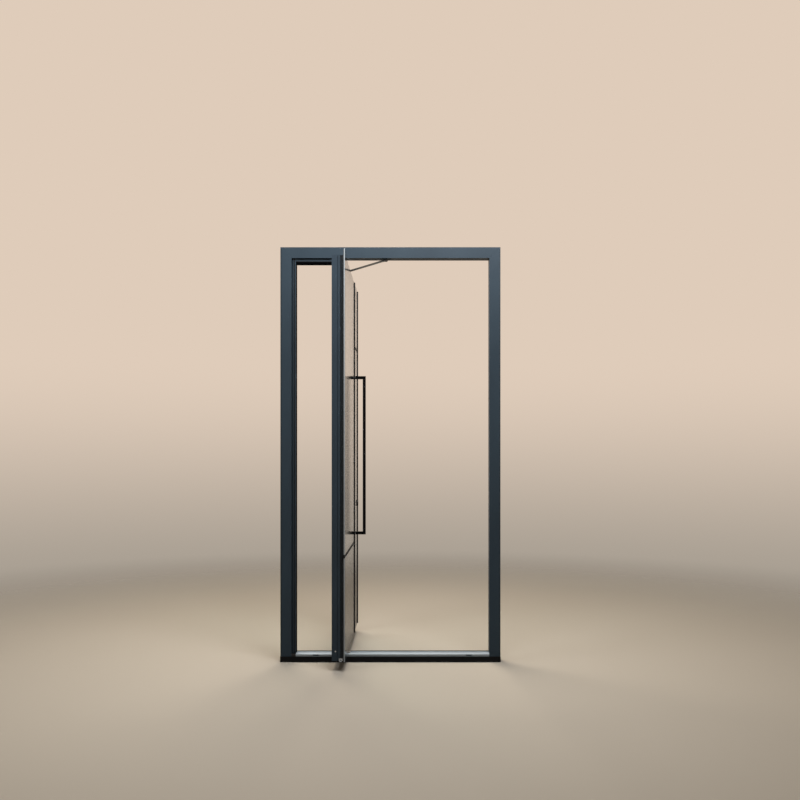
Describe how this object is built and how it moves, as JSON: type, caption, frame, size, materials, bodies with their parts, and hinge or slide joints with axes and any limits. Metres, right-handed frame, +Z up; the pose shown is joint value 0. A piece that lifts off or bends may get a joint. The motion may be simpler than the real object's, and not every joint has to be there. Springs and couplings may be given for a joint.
{
  "type": "pivot glass door",
  "caption": "Tall offset pivot door: glass leaf with dark profiles, pull handles and a stay arm, in its own aluminium frame with a silver threshold.",
  "frame": {"origin": "middle of the base of the door frame, on the underside of the sill", "axes": "+Z up, +X along the frame from the heel jamb to the toe jamb, +Y into the room, the side to which the long end of the leaf swings"},
  "size_m": [1.46, 1.329, 2.75],
  "materials": {
    "black_metal": "satin",
    "bronze": "machined",
    "frame_paint": "satin",
    "glass": "polished",
    "mill_aluminium": "mill",
    "nylon": "matte",
    "rubber": "matte",
    "sill_plastic": "matte",
    "spacer": "matte",
    "steel": "brushed",
    "threshold_metal": "satin"
  },
  "bodies": {
    "frame": {"heel_jamb": "frame_paint", "toe_jamb": "frame_paint", "head": "frame_paint", "base_sill": "sill_plastic", "threshold": "threshold_metal", "threshold_seal": "rubber", "heel_jamb_stop": "frame_paint", "head_stop": "frame_paint", "stop_seals": "rubber", "frame_cleats": "mill_aluminium", "floor_pivot": "steel", "thrust_washer": "bronze", "head_bearing": "steel", "stay_bracket": "steel", "strike_plate": "steel"},
    "leaf": {"bonding_seals": "rubber", "bottom_pivot_shoe": "steel", "bottom_rail": "frame_paint", "bottom_seal": "rubber", "cover_lip_seals": "rubber", "cover_lips": "frame_paint", "faceplate": "steel", "glazing_gaskets": "rubber", "handle_bolts": "steel", "handle_sleeves": "nylon", "heel_stile": "frame_paint", "inner_handle": "black_metal", "inner_pane_main_lower": "glass", "inner_pane_main_upper": "glass", "inner_pane_side_lower": "glass", "inner_pane_side_upper": "glass", "joint_gaskets": "rubber", "leaf_cleats": "mill_aluminium", "lock_case": "steel", "lock_cylinder": "steel", "main_transom": "frame_paint", "mid_cover": "black_metal", "mid_stile": "frame_paint", "outer_handle": "black_metal", "outer_pane_main_lower": "glass", "outer_pane_main_upper": "glass", "outer_pane_side_lower": "glass", "outer_pane_side_upper": "glass", "rosettes": "black_metal", "seal_carrier": "mill_aluminium", "setting_blocks": "nylon", "side_transom": "frame_paint", "spacer_bars": "spacer", "stay_track": "steel", "toe_stile": "frame_paint", "toe_trim": "black_metal", "top_pivot_block": "steel", "top_pivot_pin": "steel", "top_rail": "frame_paint"},
    "stay_arm": {"stay_arm": "steel"},
    "stay_slider": {"stay_slider": "nylon"},
    "deadbolt": {"deadbolt": "steel"},
    "thumb_turn": {"thumb_turn": "black_metal"}
  },
  "joints": [
    {"name": "leaf_pivot", "type": "hinge", "parent": "frame", "child": "leaf", "pos_m": [-0.323, 0.005, 0], "axis": [0, 0, 1], "range_deg": [-90, 0]},
    {"name": "stay_swing", "type": "hinge", "parent": "frame", "child": "stay_arm", "pos_m": [-0.03, 0.005, 2.66], "axis": [0, 0, 1], "range_deg": [-139.09, 0]},
    {"name": "stay_slide", "type": "slide", "parent": "leaf", "child": "stay_slider", "axis": [0, 1, 0], "range_m": [0, 0.42727]},
    {"name": "thumb_turn_spin", "type": "hinge", "parent": "leaf", "child": "thumb_turn", "pos_m": [-0.366, 0.939, 1.01], "axis": [1, 0, 0], "range_deg": [0, 90]},
    {"name": "deadbolt_slide", "type": "slide", "parent": "leaf", "child": "deadbolt", "axis": [0, 1, 0], "range_m": [0, 0.02]}
  ],
  "couplings": [
    {"joint": "stay_swing", "follows": "leaf_pivot", "ratio": 1.5453},
    {"joint": "stay_slide", "follows": "leaf_pivot", "m_per_rad": -0.27169},
    {"joint": "deadbolt_slide", "follows": "thumb_turn_spin", "m_per_rad": 0.012732}
  ]
}
